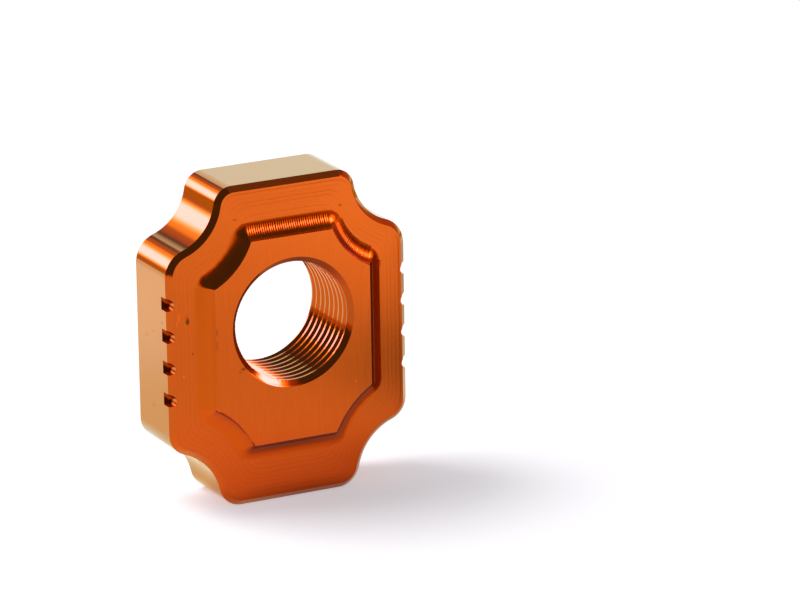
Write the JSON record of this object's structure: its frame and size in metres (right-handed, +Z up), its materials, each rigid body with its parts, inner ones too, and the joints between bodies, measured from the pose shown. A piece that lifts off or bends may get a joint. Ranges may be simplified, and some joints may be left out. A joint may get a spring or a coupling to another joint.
{
  "type": "motorcycle chain adjuster",
  "caption": "Anodised aluminium rear axle block with a threaded bore, a raised pad, scalloped corners and index notches along both long sides.",
  "frame": {"origin": "on the axle bore's axis, halfway through the slab's thickness without its raised pad", "axes": "+Y along the bore, out of the block's flat back; -Y is the front with the raised pad; +Z up the block's long direction, from the bore towards the nearer short end; +X across the block, to the right as seen from the front"},
  "size_m": [0.04, 0.0132, 0.0504],
  "materials": {
    "orange_anodised": "satin"
  },
  "bodies": {
    "root": {"axle_block": "orange_anodised"}
  },
  "joints": []
}
